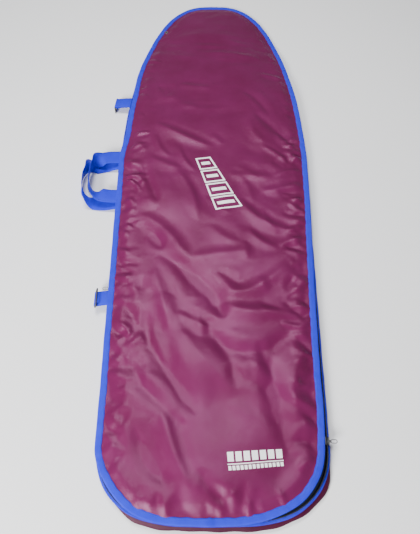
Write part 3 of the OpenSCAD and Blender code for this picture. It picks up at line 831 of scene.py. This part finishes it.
# ---------------------------------------------------------------- gusset and zip
def gusset():
    line, n, at = rim_path(Y_FOLD, "tail", 5 * MM)
    y = line[:, 1]
    z0, z1 = BASE_Z + FIN_H + 0 * y, low_z(y)
    x = line[:, 0]
    slack = smooth((ROUND_Y + 0.01 - 0.035 * smooth(x / 0.1) - y) / 0.08) * smooth((x + 0.215) / 0.07)
    flap = np.exp(-(((x - 0.225) / 0.035) ** 2 + ((y + 0.765) / 0.035) ** 2))
    out = mix(-1.0 * MM, 8.5 * MM, slack) + 6 * MM * flap
    out = out + slack * wander(at, 71, (0.23, 0.11, 0.06), 1.2 * MM)
    droop = slack * wander(at, 72, (0.13, 0.07), 0.8 * MM)
    rows = []
    for k in range(len(line)):
        o, mid = out[k], (z0[k] + z1[k]) / 2 + droop[k]
        section = [(4 * MM, z1[k] + 0.4 * MM), (1.2 * MM, z1[k] - 0.2 * MM),
                   (-o * 0.55, mix(z1[k], mid, 0.45)), (-o * 0.93, mix(z1[k], mid, 0.8)),
                   (-o, mix(z0[k], mid, 0.8)), (-o * 0.7, mix(z0[k], mid, 0.3)),
                   (0.8 * MM, z0[k] + 0.1 * MM), (4 * MM, z0[k] - 0.3 * MM)]
        rows.append([(line[k, 0] - n[k, 0] * s[0], line[k, 1] - n[k, 1] * s[0], s[1]) for s in section])
    # The gusset's darker maroon is painted shade, not a different cloth.
    o = sweep("gusset_cloth", rows, np.linspace(0, 0.03, 8), at, M_GUSSET_PAINTED_SHADE)
    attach(o, "base")
    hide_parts("side_gusset")


def zip_halves():
    start = Y_FOLD - 0.108
    gap = 0.8 * MM
    for which, body, up in (("lower", "base", False), ("upper", "lid", True)):
        line, n, at = rim_path(start, "tail", 5 * MM)
        y = line[:, 1]
        middle = (low_z(y) + FIN_H + top_z(y)) / 2
        coil_far = middle + (gap + 3.4 * MM if up else -gap - 3.4 * MM)
        edge = top_z(y) + 0.4 * MM if up else low_z(y) + FIN_H - 0.4 * MM
        lap = coil_far - 1.6 * MM if up else coil_far + 1.6 * MM
        placed = np.c_[lid_place(line[:, 0], y)]
        shift = np.maximum(-((placed - line) * n).sum(1), 0) * (1.0 if up else 0.0)
        rows = []
        for k in range(len(line)):
            section = [(8.2 * MM, lap[k]), (8.2 * MM + shift[k] * 0.4, mix(lap[k], edge[k], 0.5)),
                       (8.2 * MM + shift[k], edge[k])]
            back = [(a + 0.6 * MM, z) for a, z in section[::-1]]
            rows.append([(line[k, 0] - n[k, 0] * a, line[k, 1] - n[k, 1] * a, z) for a, z in section + back])
        o = sweep("zip_tape_" + which + "_woven", rows, np.array([0, 4, 8, 9, 13, 17]) * MM, at, M_ZIP_TAPE,
                  closed=True)
        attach(o, body)
        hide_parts("zip_tape_" + which)
        # the coil: one bent loop of monofilament for each tooth
        line, n, at = rim_path(start, "tail", 2.6 * MM)
        y = line[:, 1]
        middle = (low_z(y) + FIN_H + top_z(y)) / 2
        d = np.gradient(line, axis=0)
        d /= np.linalg.norm(d, axis=1)[:, None]
        sign = 1.0 if up else -1.0
        verts, faces, uvs = [], [], []
        loop = ((7.9, 3.3), (5.7, 3.2), (5.2, 1.4), (5.4, 0.1), (7.2, 0.1), (7.9, 1.6))
        for k in range(len(line)):
            base = len(verts)
            for a, h in loop:
                z = middle[k] + sign * (gap + h * MM)
                p = np.array([line[k, 0] - n[k, 0] * a * MM, line[k, 1] - n[k, 1] * a * MM, z])
                for s in (-0.75, 0.75):
                    q = p + np.array([d[k, 0], d[k, 1], 0]) * s * MM
                    verts.append(q)
                    uvs.append((a * MM, s * MM))
            m = len(loop)
            for i in range(m):
                j = (i + 1) % m
                faces.append((base + 2 * i, base + 2 * j, base + 2 * j + 1, base + 2 * i + 1))
            faces.append(tuple(base + 2 * i for i in range(m)))
            faces.append(tuple(base + 2 * i + 1 for i in range(m))[::-1])
        o = make_object("zip_coil_" + which + "_teeth", verts, faces, M_COIL, uvs, shade=False)
        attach(o, body)
        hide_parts("zip_coil_" + which)


gusset()
zip_halves()


# ---------------------------------------------------------------- handles and strap tabs
def left_frame(y):
    """Matrix of the local frame on the left rim: -X outwards, +Y along the rim to the nose."""
    slope = float(half_w(np.array(y + MM)) - half_w(np.array(y - MM))) / (2 * MM)
    return Matrix.Translation((-float(half_w(np.array(y))), y, 0)) @ Matrix.Rotation(math.atan(slope), 4, "Z")


def handle(name, cad_node, y, reach, power, flat, height, seed):
    """A loop of webbing: the legs lie flat, and the far part twists up onto its edge."""
    at_rim = left_frame(y)
    half_gap, width, thick = 71 * MM, 44 * MM, 2.2 * MM
    a = np.linspace(0, math.pi, 400)
    path = np.c_[-(-6 * MM + (reach + 6 * MM) * np.sin(a) ** (2 / power)),
                 half_gap * np.sign(np.cos(a)) * np.abs(np.cos(a)) ** (2 / power)]
    path, at = arc_points(path, 4 * MM)
    out = -path[:, 0]
    twist = math.radians(104) * smooth((out - flat * reach) / (reach - flat * reach))
    d = np.gradient(path, axis=0)
    d /= np.linalg.norm(d, axis=1)[:, None]
    outer = np.c_[d[:, 1], -d[:, 0], np.zeros(len(d))]
    wide = outer * np.cos(twist)[:, None] + np.c_[np.zeros((len(d), 2)), np.sin(twist)]
    along = np.c_[d, np.zeros(len(d))]
    flatness = np.cross(along, wide)
    centre = np.c_[path, height(out, np.sin(twist))]
    r = np.random.default_rng(seed)
    sag = wander(at, seed, (0.16, 0.09, 0.05), 1.0 * MM) * smooth(at / 0.05) * smooth((at[-1] - at) / 0.05)
    centre = centre + flatness * sag[:, None]
    cup = r.uniform(0.6, 1.2) * MM
    shares = np.array([-0.5, -0.47, -0.25, 0, 0.25, 0.47, 0.5])
    rows = []
    for k in range(len(path)):
        row = []
        for side in (1, -1):
            for s in shares * side:
                edge = 0.35 if abs(s) > 0.49 else 0.9 if abs(s) > 0.46 else 1.0
                bend = cup * (4 * s * s - 0.4) * math.sin(math.pi * k / (len(path) - 1)) ** 0.5
                row.append(centre[k] + wide[k] * s * width + flatness[k] * (side * thick / 2 * edge + bend))
        rows.append(row)
    across = np.r_[np.linspace(0, width, 7), np.linspace(width, 0, 7)]
    o = sweep(name, rows, across, at, M_WEBBING, closed=True)
    o.data.transform(at_rim)
    o.data.update()
    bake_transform(o)
    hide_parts(cad_node)
    # rows of stitches along both edges of each leg
    for side_name, share in (("outer", 0.43), ("inner", -0.43)):
        for leg, part in (("front", slice(3, 16)), ("rear", slice(len(path) - 16, len(path) - 3))):
            normal = flatness[part] * np.sign(flatness[part][:, 2:3] + 1e-9)
            p = centre[part] + wide[part] * share * width + normal * (thick / 2 + 0.3 * MM)
            s = thread(f"{name}_stitches_{leg}_{side_name}", p, normal, M_THREAD, seed=seed)
            s.data.transform(at_rim)
            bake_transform(s)


seam_up = float(top_z(np.array(0.032)) + FIN_H / 2)
seam_low = float(low_z(np.array(0.021)) + FIN_H / 2)
handle("carry_handle_upper", "handle_upper", 0.032, 80 * MM, 3.0, 0.5,
       lambda out, up: seam_up + 5 * MM * smooth(out / (80 * MM)), 81)
handle("carry_handle_lower", "handle_lower", 0.021, 100 * MM, 3.2, 0.6,
       lambda out, up: mix(seam_low, 2.4 * MM, smooth(out / (45 * MM))) + up * 22 * MM, 84)


def strap_tab(name, cad_node, y, reach, z, seed):
    """Two plies of webbing from the seam, round the ring's bar, with a box of stitches."""
    at_rim = left_frame(y)
    width, ply = 38 * MM, 1.4 * MM
    seam = float(top_z(np.array(y)) + FIN_H / 2)
    bar = 2.06 * MM
    start = np.array([7 * MM, seam])
    centre = np.array([-reach, z])
    loop = [start + [0, 0.75 * ply], start * [0, 1] + [0, 0.9 * ply]]
    loop += [mix(start * [0, 1], centre, 0.5) + [0, 1.5 * ply]]
    for angle in np.radians(np.linspace(60, 300, 15)):
        loop.append(centre + (bar + ply / 2) * np.array([math.cos(angle), math.sin(angle)]))
    loop += [mix(start * [0, 1], centre, 0.5) - [0, 0.6 * ply], start * [0, 1] - [0, 0.9 * ply],
             start - [0, 0.75 * ply]]
    loop, at = arc_points(loop, 1.6 * MM)
    d = np.gradient(loop, axis=0)
    d /= np.linalg.norm(d, axis=1)[:, None]
    n = np.c_[d[:, 1], -d[:, 0]] * -1
    rows = []
    for k in range(len(loop)):
        row = []
        for side in (1, -1):
            for s in np.array([-0.5, -0.47, 0, 0.47, 0.5]) * side:
                edge = 0.35 if abs(s) > 0.49 else 1.0
                p = loop[k] + n[k] * side * ply / 2 * edge
                row.append((p[0], s * width, p[1]))
        rows.append(row)
    across = np.r_[np.linspace(0, width, 5), np.linspace(width, 0, 5)]
    o = sweep(name, rows, across, at, M_WEBBING, closed=True)
    o.data.transform(at_rim)
    o.data.update()
    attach(o, "lid")
    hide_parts(cad_node)
    top = [(x, zz) for x, zz in loop[:len(loop) // 2] if -reach * 0.72 < x < -2 * MM]
    top = np.array(top)
    if len(top) > 3:
        lift = ply / 2 + 0.3 * MM
        lines = [np.c_[top[:, 0], np.full(len(top), s * width), top[:, 1] + lift] for s in (-0.4, 0.4)]
        across_line = np.linspace(-0.4, 0.4, 8) * width
        for end in (0, -1):
            lines.append(np.c_[np.full(8, top[end, 0]), across_line, np.full(8, top[end, 1] + lift)])
        for k, p in enumerate(lines):
            s = thread(f"{name}_stitches_{k}", p, np.tile([0, 0, 1.0], (len(p), 1)), M_THREAD, pitch=3 * MM,
                       length=2.1 * MM, seed=seed + k)
            s.data.transform(at_rim)
            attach(s, "lid")


strap_tab("strap_tab_front_webbing", "strap_tab_front", 0.328, 42 * MM, 18.5 * MM, 91)
strap_tab("strap_tab_rear_webbing", "strap_tab_rear", -0.352, 30 * MM, 20 * MM, 95)


# ---------------------------------------------------------------- hard pieces that the CAD gives
def repaint(names, material):
    """Gives CAD nodes that stay as they are a better material."""
    for name in names:
        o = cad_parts[name]
        o.data.materials.clear()
        o.data.materials.append(material)


for side in ("left", "right"):
    repaint(["slider_" + side, "pull_" + side, "zip_stop_" + side], M_METAL)
repaint(["vent_eyelet", "vent_washer"], M_EYELET)
repaint(["strap_ring_front", "strap_ring_rear"], M_PLASTIC)


# ---------------------------------------------------------------- floor, light and camera
CAMERA_AT = (0.0, -0.898, 1.124)
CAMERA_TILT = 60.03  # degrees above the ground, as in the photograph
LENS = 33.71
SHIFT = -3 / 534  # a share of the frame's height
LIGHTS = (("side", (-1.2, -2.3, 1.5), 0.9, 150), ("sheen", (-0.30, 0.38, 2.2), 0.8, 56))
FLOOR_HALF = 4.0
FLOOR_Z = -0.0004


def studio():
    """A pale floor, two soft lights (name, place, size, power) and the photograph's viewing angle."""
    me = bpy.data.meshes.new("floor")
    corners = [(x * FLOOR_HALF, y * FLOOR_HALF, FLOOR_Z) for x, y in ((-1, -1), (1, -1), (1, 1), (-1, 1))]
    me.from_pydata(corners, [], [(0, 1, 2, 3)])
    floor = bpy.data.objects.new("floor", me)
    bpy.context.collection.objects.link(floor)
    me.materials.append(new_material("pale_floor", (0.86, 0.86, 0.87), 0.9, specular=0.1)[0])
    world = bpy.data.worlds.new("world")
    bpy.context.scene.world = world
    world.use_nodes = True
    world.node_tree.nodes["Background"].inputs[0].default_value = (0.93, 0.95, 1.0, 1)
    world.node_tree.nodes["Background"].inputs[1].default_value = 0.22
    for name, place, size, power in LIGHTS:
        light = bpy.data.lights.new(name, "AREA")
        light.size, light.energy = size, power
        o = bpy.data.objects.new(name, light)
        o.location = place
        o.rotation_euler = (Vector((0, 0, 0)) - Vector(place)).to_track_quat("-Z", "Y").to_euler()
        bpy.context.collection.objects.link(o)
    cam = bpy.data.cameras.new("camera")
    cam.lens, cam.sensor_width = LENS, 36
    cam.clip_start = 0.02
    o = bpy.data.objects.new("camera", cam)
    o.location = CAMERA_AT
    o.rotation_euler = (math.radians(90 - CAMERA_TILT), 0, 0)
    cam.shift_x = SHIFT
    bpy.context.collection.objects.link(o)
    bpy.context.scene.camera = o


studio()
